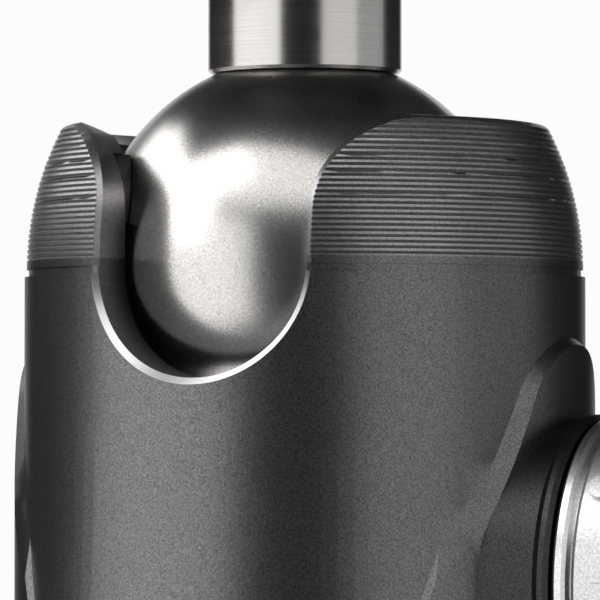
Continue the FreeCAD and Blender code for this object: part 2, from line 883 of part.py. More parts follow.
def clamp_body():
    """Fixed jaw, floor and the level's round housing of the clamp in one piece."""
    low = clamp_floor()
    side = dovetail_side(dovetail_gap)
    lip = side[2][1] - lip_cut
    outline = [
        (-clamp_outer + clamp_edge, clamp_z), (clamp_split, clamp_z), (clamp_split, low),
        (-side[0][0], low), (-side[1][0], side[1][1]), (-side[2][0] - lip_cut, lip),
        (-clamp_outer + clamp_edge, lip), (-clamp_outer, lip - clamp_edge),
        (-clamp_outer, clamp_z + clamp_edge),
    ]
    body = bar_of(outline, clamp_half_length)
    level = Vector(level_x, 0, clamp_z)
    body = body.fuse(disc(level_boss_r, level_boss_low, level_boss_high, Z, level)).removeSplitter()
    body = body.cut(disc(level_pocket_r, level_pocket_z, level_boss_high + 5, Z, level))
    body = body.cut(disc(spindle_r, clamp_z - 1, low + 1))
    body = body.cut(disc(bolt_head_r + bolt_pocket_gap, clamp_z + bolt_head_z, low + 1))
    for spot in pin_spots():
        body = body.cut(disc(pin_r, pin_start, clamp_outer, X, spot))
    return body.cut(disc(clamp_screw_r, clamp_screw_hole, clamp_outer, X, along_x(clamp_screw_z)))


def jaw():
    """Sliding jaw: runs on the guide pins and hooks over the other side of the dovetail."""
    low = clamp_floor() - 0.1
    side = dovetail_side(dovetail_gap)
    foot = clamp_z + jaw_foot
    lip = side[2][1] - lip_cut
    outline = [
        (jaw_inner, foot), (jaw_outer - clamp_edge, foot), (jaw_outer, foot + clamp_edge),
        (jaw_outer, lip - clamp_edge), (jaw_outer - clamp_edge, lip),
        (side[2][0] + lip_cut, lip), side[1], (side[0][0], low), (jaw_inner, low),
    ]
    body = bar_of(outline, clamp_half_length)
    for spot in pin_spots():
        body = body.cut(disc(pin_r + pin_gap, jaw_inner - 1, pin_hole_end, X, spot))
    return body.cut(disc(clamp_screw_r, jaw_inner - 1, clamp_outer, X, along_x(clamp_screw_z)))


def guide_pins():
    return [disc(pin_r, pin_start, pin_end, X, spot) for spot in pin_spots()]


def clamp_screw():
    """Screw that draws the jaw in, with a collar against the jaw's outer wall."""
    centre = along_x(clamp_screw_z)
    rod = disc(clamp_screw_r - press_gap, clamp_screw_start, clamp_screw_end, X, centre)
    collar = disc(clamp_collar_r, jaw_outer + press_gap, clamp_knob_start, X, centre)
    return rod.fuse(collar).removeSplitter()


def clamp_knob():
    """Small lugged grip that turns the clamp's screw."""
    base_r = clamp_knob_r - clamp_lug_height
    bore_r = clamp_screw_r - press_gap
    grip = spin([
        (bore_r, clamp_knob_start), (clamp_knob_foot_r, clamp_knob_start),
        (base_r - clamp_knob_edge, clamp_knob_start + 0.6), (base_r, clamp_knob_start + 1.1),
        (base_r, clamp_knob_end - 0.8), (base_r - 0.8, clamp_knob_end),
        (clamp_cap_r, clamp_knob_end), (clamp_cap_r, clamp_cap_floor), (bore_r, clamp_cap_floor),
    ], X)
    bar = lug(clamp_knob_r, base_r, clamp_lug_low, clamp_lug_high, clamp_lug_width)
    return lugged(grip, bar, clamp_lug_count, 0.0, clamp_screw_z)


def clamp_knob_cap():
    return disc(clamp_cap_r, clamp_cap_floor, clamp_cap_end, X, along_x(clamp_screw_z))


def clamp_bolt():
    """Bolt that holds the clamp on the stem, its head sunk in the clamp's floor."""
    head = clamp_z + bolt_head_z
    shank = disc(spindle_r, clamp_z - bolt_length, head)
    bolt = shank.fuse(disc(bolt_head_r, head, head + bolt_head_height)).removeSplitter()
    return bolt.cut(hex_prism(bolt_hex_half, head + 1.0, head + bolt_head_height + 1))


def hex_prism(half_flats, low, high):
    corner = half_flats / math.cos(math.radians(30))
    points = []
    for index in range(7):
        turn = math.radians(60 * index)
        points.append(Vector(corner * math.cos(turn), corner * math.sin(turn), low))
    return Part.Face(Part.makePolygon(points)).extrude(Vector(0, 0, high - low))


def level_ring():
    level = Vector(level_x, 0, clamp_z)
    return ring(level_pocket_r, vial_r, level_pocket_z, level_ring_top, Z, level)


def level_vial():
    return disc(vial_r, level_pocket_z, vial_top, Z, Vector(level_x, 0, clamp_z))


def main():
    save("base_plate", [base_plate()])
    save("pan_hub", [pan_hub()])
    save("tripod_bush", [tripod_bush()])
    save("pan_retainer", [pan_retainer()])
    save("retainer_screws", retainer_screws())
    save("pan_washer_lower", [pan_washer_lower()])
    save("pan_washer_upper", [pan_washer_upper()])
    save("casing", [casing()])
    save("seat_ring", [seat_ring()])
    save("pan_collar", [pan_collar()])
    save("lock_block", [lock_block()])
    save("lock_wedge", [lock_wedge()])
    save("ball_cup", [ball_cup()])
    save("cup_liner", [cup_liner()])
    save("knob_sleeve", [knob_sleeve()])
    save("sleeve_screws", sleeve_screws())
    save("spindle_washers", spindle_washers())
    save("lock_spindle", [lock_spindle()])
    save("lock_knob", [lock_knob()])
    save("lock_knob_ring", [lock_knob_ring()])
    save("friction_dial", [friction_dial()])
    save("pan_sleeve", [pan_sleeve()])
    save("pan_spindle", [pan_spindle()])
    save("pan_shoe", [pan_shoe()])
    save("pan_knob", [pan_knob()])
    save("pan_knob_cap", [pan_knob_cap()])
    save("ball", [ball()])
    save("stem", [stem()])
    save("clamp_body", [clamp_body()])
    save("guide_pins", guide_pins())
    save("clamp_bolt", [clamp_bolt()])
    save("level_ring", [level_ring()])
    save("level_vial", [level_vial()])
    save("jaw", [jaw()])
    save("clamp_screw", [clamp_screw()])
    save("clamp_knob", [clamp_knob()])
    save("clamp_knob_cap", [clamp_knob_cap()])
    save("plate", [plate()])
    save("plate_pads", plate_pads())
    save("camera_screw", [camera_screw()])


main()
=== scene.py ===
# %% [markdown]
# # Tripod ball head
#
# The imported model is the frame: every solid is already in its place, and each one rides on a body that
# moves. This file gives the solids their finishes and adds the pieces that are too fine for them: screw
# threads, ribs on rubber, the scale round the base, the numbers on the dial and the bubble of the level.
#
# Everything is in metres. Z runs up the panning axis, the drop notch faces -Y and the large knob is at +X.

import json
import math

import bmesh
import bpy
from mathutils import Matrix, Vector


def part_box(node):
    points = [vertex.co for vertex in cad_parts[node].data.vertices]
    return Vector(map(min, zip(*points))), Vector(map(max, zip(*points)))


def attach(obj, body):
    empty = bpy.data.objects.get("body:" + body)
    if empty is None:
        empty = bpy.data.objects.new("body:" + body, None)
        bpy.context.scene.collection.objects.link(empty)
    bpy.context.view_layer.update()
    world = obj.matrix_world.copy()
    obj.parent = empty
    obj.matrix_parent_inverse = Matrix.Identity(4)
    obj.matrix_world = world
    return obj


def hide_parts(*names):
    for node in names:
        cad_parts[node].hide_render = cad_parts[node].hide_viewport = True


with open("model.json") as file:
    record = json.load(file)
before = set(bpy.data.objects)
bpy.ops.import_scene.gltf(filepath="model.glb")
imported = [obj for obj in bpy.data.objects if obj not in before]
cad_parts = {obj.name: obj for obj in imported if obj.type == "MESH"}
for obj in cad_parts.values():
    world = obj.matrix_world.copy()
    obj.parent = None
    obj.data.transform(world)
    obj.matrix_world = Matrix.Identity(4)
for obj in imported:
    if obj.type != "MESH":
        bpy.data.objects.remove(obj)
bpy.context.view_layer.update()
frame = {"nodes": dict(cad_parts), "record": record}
nodes = frame["nodes"]
MM = 0.001

# %% [markdown]
# The places that the new pieces need are read from the frame, so they follow the solids. The ball's box
# gives the point that everything swings about, and the knobs' boxes give the heights of their shafts.


# %% Places on the object
def corners_mm(node):
    """A solid's lowest and highest corners, in millimetres."""
    low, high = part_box(node)
    return Vector(low) / MM, Vector(high) / MM


def middle_of(node):
    """The middle of a solid's box."""
    low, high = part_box(node)
    return (Vector(low) + Vector(high)) / 2


ball_centre = Vector((0, 0, middle_of("ball").z))
lock_shaft = Vector((0, 0, middle_of("lock_knob_ring").z))
clamp_shaft = Vector((0, 0, middle_of("clamp_knob_cap").z))
print("ball centre at", round(ball_centre.z / MM, 2), "lock shaft at", round(lock_shaft.z / MM, 2))

# %% [markdown]
# The photograph was taken with a long lens at about the height of the casing's middle, 23 degrees round
# from the notch. A long lens keeps the casing's sides nearly parallel. The camera looks up by about one
# degree, which could also be done with a lens shift, but a pitch still works when the view is moved.

# %% Camera
view_turn = math.radians(23.0)
towards_camera = Vector((math.sin(view_turn), -math.cos(view_turn), 0.0))
across_view = Vector((math.cos(view_turn), math.sin(view_turn), 0.0))
camera_distance = 416.0 * MM
eye_below_ball = 11.1 * MM
aim_above_eye = 8.36 * MM
aim_beside_axis = 0.46 * MM
eye_height = ball_centre.z - eye_below_ball
aim = Vector((0, 0, eye_height + aim_above_eye)) - across_view * aim_beside_axis

camera_data = bpy.data.cameras.new("camera")
camera_data.lens = 268.8
camera_data.sensor_width = 36.0
camera_data.clip_start = 0.01
camera = bpy.data.objects.new("camera", camera_data)
bpy.context.scene.collection.objects.link(camera)
camera.location = towards_camera * camera_distance + Vector((0, 0, eye_height))
camera.rotation_euler = (aim - camera.location).to_track_quat("-Z", "Y").to_euler()
bpy.context.scene.camera = camera
print("camera at", [round(v / MM, 1) for v in camera.location])

# %% [markdown]
# Metal shows what is round it more than its own colour, so the studio matters as much as the materials.
# The highlights on the ball tell where the lights stood: a large soft box on the left with a brighter one
# leaning in over it, one above the front, two narrow ones on the right, and white paper behind. Between
# them, where the camera stands, it is dark. Each box is placed by the direction it shines from, and its
# power is worked out from how bright its face should look, so that a larger box isn't also a brighter one.
# The world is white to the camera. To the metal it is nearly black, with a pale glow from straight below,
# as from a table.

# %% Studio lights
scene = bpy.context.scene
scene.view_settings.view_transform = "Standard"
scene.view_settings.look = "None"
light_distance = 0.8


def soft_box(name, turn_deg, rise_deg, width, height, brightness):
    """A rectangular light, turned from the camera's side towards the right and raised from level."""
    turn = math.radians(turn_deg)
    rise = math.radians(rise_deg)
    level = towards_camera * math.cos(turn) + across_view * math.sin(turn)
    away = level * math.cos(rise) + Vector((0, 0, math.sin(rise)))
    data = bpy.data.lights.new(name, "AREA")
    data.shape = "RECTANGLE"
    data.size = width
    data.size_y = height
    data.energy = brightness * math.pi * width * height
    light = bpy.data.objects.new(name, data)
    scene.collection.objects.link(light)
    light.location = ball_centre + away * light_distance
    light.rotation_euler = (-away).to_track_quat("-Z", "Y").to_euler()
    light.visible_camera = False


# name, turn and rise in degrees, width and height in metres, brightness of its face
soft_box("box_left", -61, -2, 1.00, 0.84, 1.85)
soft_box("box_left_high", -98, 40, 1.25, 0.75, 3.0)
soft_box("box_front_high", -12, 56, 0.80, 0.70, 1.8)
soft_box("box_right", 42, 8, 0.66, 1.15, 1.15)
soft_box("box_right_dim", 86, 5, 0.60, 1.10, 0.60)
soft_box("paper_behind", 180, 0, 0.60, 0.60, 0.9)

background_white = 0.975
glow_starts = -0.3
glow_full = -0.9
glow_from_below = 0.45
glow_elsewhere = 0.03
world = bpy.data.worlds.new("studio")
world.use_nodes = True
scene.world = world
world_tree = world.node_tree
background = world_tree.nodes["Background"]
background.inputs["Color"].default_value = (*[background_white] * 3, 1.0)
world_place = world_tree.nodes.new("ShaderNodeTexCoord")
world_parts = world_tree.nodes.new("ShaderNodeSeparateXYZ")
world_tree.links.new(world_place.outputs["Generated"], world_parts.inputs["Vector"])
world_glow = world_tree.nodes.new("ShaderNodeMapRange")
world_glow.inputs["From Min"].default_value = glow_full
world_glow.inputs["From Max"].default_value = glow_starts
world_glow.inputs["To Min"].default_value = glow_from_below
world_glow.inputs["To Max"].default_value = glow_elsewhere
world_tree.links.new(world_parts.outputs["Z"], world_glow.inputs["Value"])
world_rays = world_tree.nodes.new("ShaderNodeLightPath")
world_level = world_tree.nodes.new("ShaderNodeMix")
world_level.inputs["B"].default_value = 1.0
world_tree.links.new(world_rays.outputs["Is Camera Ray"], world_level.inputs["Factor"])
world_tree.links.new(world_glow.outputs["Result"], world_level.inputs["A"])
world_tree.links.new(world_level.outputs["Result"], background.inputs["Strength"])

# %% [markdown]
# The floor is a round sheet of pale paper. Seen by the camera it glows a little, most at its edge, so that
# it melts into the background, and the head still leaves a soft shadow where it stands. Seen by the metal
# it doesn't glow, because a bright floor would fill the dark core of every round part.


# %% Shader helpers and floor
def principled(name):
    """A new material, its node tree and its shader node."""
    material = bpy.data.materials.new(name)
    material.use_nodes = True
    return material, material.node_tree, material.node_tree.nodes["Principled BSDF"]


def maths(tree, operation, first, second=0.0):
    """One step of arithmetic in a shader, on sockets or numbers."""
    node = tree.nodes.new("ShaderNodeMath")
    node.operation = operation
    for socket, value in zip(node.inputs, (first, second)):
        if isinstance(value, (int, float)):
            socket.default_value = value
        else:
            tree.links.new(value, socket)
    return node.outputs["Value"]


def millimetres(tree, centre=(0.0, 0.0, 0.0)):
    """The place on the piece in millimetres from a centre, as three sockets."""
    coordinates = tree.nodes.new("ShaderNodeTexCoord")
    mapping = tree.nodes.new("ShaderNodeMapping")
    mapping.inputs["Location"].default_value = [-c / MM for c in centre]
    mapping.inputs["Scale"].default_value = (1 / MM, 1 / MM, 1 / MM)
    parts = tree.nodes.new("ShaderNodeSeparateXYZ")
    tree.links.new(coordinates.outputs["Object"], mapping.inputs["Vector"])
    tree.links.new(mapping.outputs["Vector"], parts.inputs["Vector"])
    return parts.outputs["X"], parts.outputs["Y"], parts.outputs["Z"]


def remap(tree, value, from_min, from_max, to_min, to_max):
    """A value's range stretched to another."""
    stretch = tree.nodes.new("ShaderNodeMapRange")
    stretch.inputs["From Min"].default_value = from_min
    stretch.inputs["From Max"].default_value = from_max
    stretch.inputs["To Min"].default_value = to_min
    stretch.inputs["To Max"].default_value = to_max
    tree.links.new(value, stretch.inputs["Value"])
    return stretch.outputs["Result"]


def length_of(tree, first, second):
    """The hypotenuse of two values."""
    first_square = maths(tree, "MULTIPLY", first, first)
    second_square = maths(tree, "MULTIPLY", second, second)
    return maths(tree, "SQRT", maths(tree, "ADD", first_square, second_square))


floor_radius = 0.5
glow_near = 60.0
glow_far = 300.0
glow_at_head = 0.62
glow_at_edge = 0.96
glow_unseen = 0.25
paper, paper_tree, paper_shader = principled("studio_paper")
paper_shader.inputs["Base Color"].default_value = (0.55, 0.55, 0.55, 1.0)
paper_shader.inputs["Roughness"].default_value = 0.9
paper_shader.inputs["Specular IOR Level"].default_value = 0.0
paper_shader.inputs["Emission Color"].default_value = (1, 1, 1, 1)
paper_x, paper_y = millimetres(paper_tree)[:2]
from_middle = length_of(paper_tree, paper_x, paper_y)
paper_glow = remap(paper_tree, from_middle, glow_near, glow_far, glow_at_head, glow_at_edge)
paper_rays = paper_tree.nodes.new("ShaderNodeLightPath")
paper_share = remap(paper_tree, paper_rays.outputs["Is Camera Ray"], 0.0, 1.0, glow_unseen, 1.0)
paper_strength = maths(paper_tree, "MULTIPLY", paper_glow, paper_share)
paper_tree.links.new(paper_strength, paper_shader.inputs["Emission Strength"])

floor_shape = bmesh.new()
bmesh.ops.create_circle(floor_shape, cap_ends=True, radius=floor_radius, segments=96)
floor_data = bpy.data.meshes.new("floor")
floor_shape.to_mesh(floor_data)
floor_shape.free()
floor = bpy.data.objects.new("floor", floor_data)
floor_data.materials.append(paper)
scene.collection.objects.link(floor)
floor.visible_glossy = False
floor.visible_shadow = False
print("floor radius in mm:", floor_radius / MM)

# %% [markdown]
# Most of the head is aluminium that was bead blasted and then anodised: a matt metal with a grain of a
# tenth of a millimetre. A metallic shader gets a fine noise on its colour and the same noise as bump. The
# grain could be an image, but noise in object coordinates has no seams on round parts. Turned metal has
# rings instead, which are the same noise drawn out round Z. The knob's ring is blasted, as the photograph
# shows, although its slot is called turned. Plastic and rubber aren't metallic.


# %% Finishes
def noise(tree, size, detail=2.0, squeeze=(1.0, 1.0, 1.0)):
    """Noise with grains of about a size in metres. A squeeze under 1 draws them out along an axis."""
    coordinates = tree.nodes.new("ShaderNodeTexCoord")
    mapping = tree.nodes.new("ShaderNodeMapping")
    mapping.inputs["Scale"].default_value = squeeze
    node = tree.nodes.new("ShaderNodeTexNoise")
    node.inputs["Scale"].default_value = 0.5 / size
    node.inputs["Detail"].default_value = detail
    tree.links.new(coordinates.outputs["Object"], mapping.inputs["Vector"])
    tree.links.new(mapping.outputs["Vector"], node.inputs["Vector"])
    return node.outputs["Fac"]


def mixed(tree, factor, first, second):
    """A colour between two. Each is a colour or a socket."""
    mix = tree.nodes.new("ShaderNodeMix")
    mix.data_type = "RGBA"
    tree.links.new(factor, mix.inputs["Factor"])
    for name, colour in (("A", first), ("B", second)):
        if isinstance(colour, (tuple, list)):
            mix.inputs[name].default_value = (*colour, 1)
        else:
            tree.links.new(colour, mix.inputs[name])
    return mix.outputs["Result"]


def speckled(tree, grains, colour, contrast):
    """A colour with darker and lighter grains."""
    dark = [c * (1 - contrast) for c in colour]
    light = [min(c * (1 + contrast), 1.0) for c in colour]
    return mixed(tree, remap(tree, grains, 0.3, 0.7, 0.0, 1.0), dark, light)


def bumped(tree, shader, height, depth):
    """Lets a value raise the surface by up to a depth in metres."""
    bump = tree.nodes.new("ShaderNodeBump")
    bump.inputs["Strength"].default_value = 1.0
    bump.inputs["Distance"].default_value = depth
    tree.links.new(height, bump.inputs["Height"])
    tree.links.new(bump.outputs["Normal"], shader.inputs["Normal"])


def blasted(name, colour, roughness, contrast=0.40, size=0.08 * MM, depth=0.004 * MM):
    """Bead-blasted, anodised aluminium."""
    material, tree, shader = principled(name)
    shader.inputs["Metallic"].default_value = 1.0
    grains = noise(tree, size)
    tree.links.new(speckled(tree, grains, colour, contrast), shader.inputs["Base Color"])
    patches = noise(tree, 4.0 * MM, 1.0)
    rough = remap(tree, patches, 0.3, 0.7, roughness - 0.02, roughness + 0.02)
    tree.links.new(rough, shader.inputs["Roughness"])
    bumped(tree, shader, grains, depth)
    return material


def turned(name, colour, roughness, pitch=0.08 * MM, contrast=0.06, depth=0.001 * MM):
    """Metal fresh from the lathe: fine rings round Z."""
    material, tree, shader = principled(name)
    shader.inputs["Metallic"].default_value = 1.0
    rings = noise(tree, pitch, 3.0, (0.02, 0.02, 1.0))
    tree.links.new(speckled(tree, rings, colour, contrast), shader.inputs["Base Color"])
    rough = remap(tree, rings, 0.3, 0.7, roughness - 0.03, roughness + 0.03)
    tree.links.new(rough, shader.inputs["Roughness"])
    bumped(tree, shader, rings, depth)
    return material


def moulded(name, colour, roughness, size=0.3 * MM, depth=0.01 * MM):
    """Plastic or rubber with a faint moulded texture."""
    material, tree, shader = principled(name)
    grains = noise(tree, size)
    tree.links.new(speckled(tree, grains, colour, 0.15), shader.inputs["Base Color"])
    rough = remap(tree, grains, 0.3, 0.7, roughness - 0.04, roughness + 0.04)
    tree.links.new(rough, shader.inputs["Roughness"])
    bumped(tree, shader, grains, depth)
    return material


casing_colour = (0.118, 0.114, 0.119)
casing_roughness = 0.34
casing_contrast = 0.40
casing_grain = 0.08 * MM
casing_relief = 0.004 * MM
finish = {
    "casing_grey": blasted("casing_finish", casing_colour, casing_roughness),
    "steel": turned("steel_finish", (0.55, 0.55, 0.56), 0.28),
    "plain_aluminium": turned("plain_aluminium_finish", (0.68, 0.68, 0.69), 0.32),
    "black_steel": blasted("black_steel_finish", (0.04, 0.04, 0.042), 0.38),
    "white_plastic": moulded("white_plastic_finish", (0.80, 0.79, 0.75), 0.45),
    "black_plastic": moulded("black_plastic_finish", (0.012, 0.012, 0.013), 0.35),
    "sleeve_grey": blasted("sleeve_finish", (0.038, 0.037, 0.038), 0.38),
    "silver_blasted": blasted("silver_blasted_finish", (0.52, 0.52, 0.515), 0.38, 0.24, 0.10 * MM),
    "silver_turned": blasted("silver_ring_finish", (0.56, 0.56, 0.555), 0.30, 0.18),
    "ball_grey": blasted("ball_finish", (0.45, 0.435, 0.42), 0.27, 0.20, 0.09 * MM, 0.0025 * MM),
    "stem_silver": turned("stem_finish", (0.44, 0.425, 0.41), 0.20),
    "level_green": moulded("level_finish", (0.45, 0.72, 0.10), 0.12),
    "rubber_black": moulded("rubber_finish", (0.018, 0.018, 0.018), 0.7),
}
print("finishes:", len(finish))

# %% [markdown]
# The edge of the drop notch is a bright bevel, cut after the casing was anodised. The solid has the bevel,
# but in the same mesh as the dark skin. The bevel could be a piece of its own, but then two skins would lie
# on each other, so a mask in the casing's shader finds it: the places that are up to one bevel's width
# outside the notch's outline. In the front view that outline is a half circle, two short uprights, and two
# arcs that open outwards, and each has a simple distance. The bevel's colour is painted bright at the
# bottom and duller towards the top, a painted light and shade that goes by height. The ribs are painted
# a paler metal than the barrel, a painted light which makes up for grooves that are wider, and so darker,
# than the real ones.

# %% Casing with a bright bevel round its notch
notch_half = 10.0
upright_top = 5.0
flare_radius = 8.9
bevel_width = 0.6
# The bevel's colour is painted from full brightness below the first height down to a small share above the
# second, a painted shade towards the top.
cut_bright_below = -7.0
cut_dark_above = -0.5
cut_painted_light_at_top = 0.15
cut_grain = 0.05 * MM
cut_colour = (0.66, 0.66, 0.67)
cut_contrast = 0.10
cut_roughness = 0.30
ribs_start = 0.8
rib_fade = 0.2
rib_contrast = 0.30
# Painted light: the ribs' metal is paler than the barrel's, to make up for the shade in their wide grooves.
rib_painted_light_colour = (0.240, 0.235, 0.240)
bevel_starts_at_radius = 21.2
clear_of_wall = 0.03


def notch_mask(tree):
    """1 on the bevel and 0 elsewhere, by the distance from the notch's outline in the front view."""
    x, y, z = millimetres(tree, ball_centre)
    side = maths(tree, "ABSOLUTE", x)
    bottom = maths(tree, "SUBTRACT", length_of(tree, side, z), notch_half)
    upright = maths(tree, "SUBTRACT", side, notch_half)
    from_arc_x = maths(tree, "SUBTRACT", side, notch_half + flare_radius)
    from_arc_z = maths(tree, "SUBTRACT", z, upright_top)
    flare = maths(tree, "SUBTRACT", flare_radius, length_of(tree, from_arc_x, from_arc_z))
    above_middle = maths(tree, "GREATER_THAN", z, 0.0)
    above_upright = maths(tree, "GREATER_THAN", z, upright_top)
    lower = maths(tree, "MULTIPLY", bottom, maths(tree, "SUBTRACT", 1.0, above_middle))
    between = maths(tree, "MULTIPLY", upright, maths(tree, "SUBTRACT", above_middle, above_upright))
    upper = maths(tree, "MULTIPLY", flare, above_upright)
    distance = maths(tree, "ADD", maths(tree, "ADD", lower, between), upper)
    outside = maths(tree, "GREATER_THAN", distance, clear_of_wall)
    near = maths(tree, "LESS_THAN", distance, bevel_width)
    in_front = maths(tree, "LESS_THAN", y, 0.0)
    off_bore = maths(tree, "GREATER_THAN", length_of(tree, x, y), bevel_starts_at_radius)
    band = maths(tree, "MULTIPLY", outside, near)
    return maths(tree, "MULTIPLY", band, maths(tree, "MULTIPLY", in_front, off_bore))


def casing_with_bevel():
    """The casing's skin, with the bright cut of its bevel painted duller towards the top, and its ribs
    painted a paler metal.
    """
    material, tree, shader = principled("casing_bevel_and_painted_light")
    shader.inputs["Metallic"].default_value = 1.0
    height = millimetres(tree, ball_centre)[2]
    # Painted shade: the bevel's brightness fades with height, down to a small share at the top.
    bevel_painted_shade = remap(tree, height, cut_bright_below, cut_dark_above, 1.0, cut_painted_light_at_top)
    bright = maths(tree, "MULTIPLY", notch_mask(tree), bevel_painted_shade)
    grains = noise(tree, casing_grain)
    ribbed = remap(tree, height, ribs_start - rib_fade, ribs_start, 0.0, 1.0)
    blasted_skin = speckled(tree, grains, casing_colour, casing_contrast)
    # The ribs get a paler copy of the casing's metal, a painted light against their dark grooves.
    rib_painted_light_skin = speckled(tree, grains, rib_painted_light_colour, rib_contrast)
    skin = mixed(tree, ribbed, blasted_skin, rib_painted_light_skin)
    cut = speckled(tree, noise(tree, cut_grain), cut_colour, cut_contrast)
    tree.links.new(mixed(tree, bright, skin, cut), shader.inputs["Base Color"])
    rough = remap(tree, bright, 0.0, 1.0, casing_roughness, cut_roughness)
    tree.links.new(rough, shader.inputs["Roughness"])
    bumped(tree, shader, grains, casing_relief)
    return material


slot_of = {part["node"]: part["material_slot"] for part in frame["record"]["subparts"]}
for name, solid in nodes.items():
    solid.data.materials.clear()
    solid.data.materials.append(finish[slot_of[name]])
nodes["casing"].data.materials[0] = casing_with_bevel()
print("solids with a finish:", len(nodes))

# %% [markdown]
# The casing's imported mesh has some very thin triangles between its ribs, and their directions pull the
# shading of the ribs beside them. Three modifiers even the ribs at the front out and leave the shape alone:
# points that lie together are joined, sharp edges are split again, and each direction is then averaged by
# the area of the faces round it. Some streaks are left at the back. Cleaning a copy of the mesh would do
# the same, but this way the solid can stay.

# %% Casing's shading
joining_distance = 0.002 * MM
sharp_deg = 25
joined = nodes["casing"].modifiers.new("joined", "WELD")
joined.merge_threshold = joining_distance
sharp_edges = nodes["casing"].modifiers.new("sharp_edges", "EDGE_SPLIT")
sharp_edges.split_angle = math.radians(sharp_deg)
even_shading = nodes["casing"].modifiers.new("even_shading", "WEIGHTED_NORMAL")
even_shading.mode = "FACE_AREA"
even_shading.weight = 50
print("modifiers on the casing:", len(nodes["casing"].modifiers))

# %% [markdown]
# The new pieces are all made in the same few ways. A turned piece is half of its section, spun round an
# axis. A thread is a small section that climbs as it spins. A repeated mark is made once and spun with
# copies left behind. Each is built round Z, because that is easy to read, and then laid on its own axis.


# %% Modelling helpers
ONTO_X = Matrix.Rotation(math.radians(90), 3, "Y")
RIDGE_SUNK = 0.05


def turned_solid(shape, outline, steps=64, closed=False):
    """Spins an outline of (radius, height) in mm round Z. An open outline starts and ends on the axis."""
    verts = [shape.verts.new((radius * MM, 0, height * MM)) for radius, height in outline]
    pairs = list(zip(verts, verts[1:]))
    if closed:
        pairs.append((verts[-1], verts[0]))
    edges = [shape.edges.new(pair) for pair in pairs]
    bmesh.ops.spin(shape, geom=verts + edges, cent=(0, 0, 0), axis=(0, 0, 1), dvec=(0, 0, 0),
                   angle=math.radians(360), steps=steps, use_merge=True)


def thread(shape, root, crest, low, pitch, turns, steps=32):
    """A ridge that climbs round Z, closed at both ends. Its crest may be outside or inside its root."""
    half = 0.42 * pitch
    flat = 0.08 * pitch
    section = [(root, -half), (crest, -flat), (crest, flat), (root, half)]
    verts = [shape.verts.new((radius * MM, 0, (low + height) * MM)) for radius, height in section]
    face = shape.faces.new(verts)
    bmesh.ops.spin(shape, geom=[face] + list(face.edges) + verts, cent=(0, 0, 0), axis=(0, 0, 1),
                   dvec=(0, 0, pitch * MM / steps), angle=math.radians(360 * turns),
                   steps=round(steps * turns), use_merge=False)


def block(shape, size, centre, edge=0.0):
    """A box in mm with its edges taken off."""
    made = bmesh.ops.create_cube(shape, size=1.0)["verts"]
    bmesh.ops.scale(shape, vec=[s * MM for s in size], verts=made)
    bmesh.ops.translate(shape, vec=[c * MM for c in centre], verts=made)
    if edge > 0:
        edges = list({e for vert in made for e in vert.link_edges})
        bmesh.ops.bevel(shape, geom=edges, offset=edge * MM, offset_type="OFFSET", segments=2,
                        profile=0.5, affect="EDGES", material=-1)


def copies_round(shape, count, start=0):
    """Copies of all that the shape holds, evenly spaced round Z."""
    whole = list(shape.verts) + list(shape.edges) + list(shape.faces)
    bmesh.ops.spin(shape, geom=whole, cent=(0, 0, 0), axis=(0, 0, 1), dvec=(0, 0, 0),
                   angle=math.radians(360) * (count - 1) / count, steps=count - 1,
                   use_merge=False, use_duplicate=True)


def piece(name, shape, material, body, smooth_deg=30.0):
    """Makes the object, smooths it between its sharp edges and lets it ride on its body."""
    bmesh.ops.remove_doubles(shape, verts=shape.verts, dist=0.0005 * MM)
    bmesh.ops.recalc_face_normals(shape, faces=shape.faces)
    for face in shape.faces:
        face.smooth = True
    for edge in shape.edges:
        edge.smooth = edge.is_manifold and edge.calc_face_angle(0.0) < math.radians(smooth_deg)
    data = bpy.data.meshes.new(name)
    shape.to_mesh(data)
    shape.free()
    data.materials.append(material)
    made = bpy.data.objects.new(name, data)
    scene.collection.objects.link(made)
    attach(made, body)
    corners = [vert.co for vert in data.vertices]
    size = [round((max(c[i] for c in corners) - min(c[i] for c in corners)) / MM, 2) for i in range(3)]
    print(name, "faces", len(data.polygons), "size in mm", size)
    return made


# %% [markdown]
# The camera screw is 1/4 inch with 20 threads to the inch. The solid has a plain shank at the thread's
# outer size. The head and the narrow shank are right, so they are copied from the solid and cut off where
# the thread starts, and the threaded end is turned new: a core with a ridge climbing round it.

# %% Camera screw
inch = 25.4
screw_high = corners_mm("camera_screw")[1]
screw_tip = 0.6
screw_joint = 0.5
thread_end = screw_high.z - screw_tip
thread_start = thread_end - 5.0
camera_pitch = inch / 20
camera_core = 2.55
camera_crest = 3.175

shape = bmesh.new()
shape.from_mesh(nodes["camera_screw"].data)
bmesh.ops.remove_doubles(shape, verts=shape.verts, dist=0.001 * MM)
whole = list(shape.verts) + list(shape.edges) + list(shape.faces)
cut = bmesh.ops.bisect_plane(shape, geom=whole, plane_co=(0, 0, (thread_start - 0.3) * MM),
                             plane_no=(0, 0, 1), clear_outer=True)
rim = [item for item in cut["geom_cut"] if isinstance(item, bmesh.types.BMEdge)]
bmesh.ops.holes_fill(shape, edges=rim, sides=0)
turned_solid(shape, [(0, thread_start - screw_joint), (camera_core - 0.1, thread_start - screw_joint),
                     (camera_core, thread_start), (camera_core, thread_end),
                     (camera_core - screw_tip, screw_high.z), (0, screw_high.z)])
camera_turns = (thread_end - thread_start - 0.8 * camera_pitch) / camera_pitch
first_turn = thread_start + 0.45 * camera_pitch
thread(shape, camera_core - RIDGE_SUNK, camera_crest, first_turn, camera_pitch, camera_turns)
threaded_screw = piece("threaded_camera_screw", shape, finish["steel"], "camera_screw")
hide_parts("camera_screw")

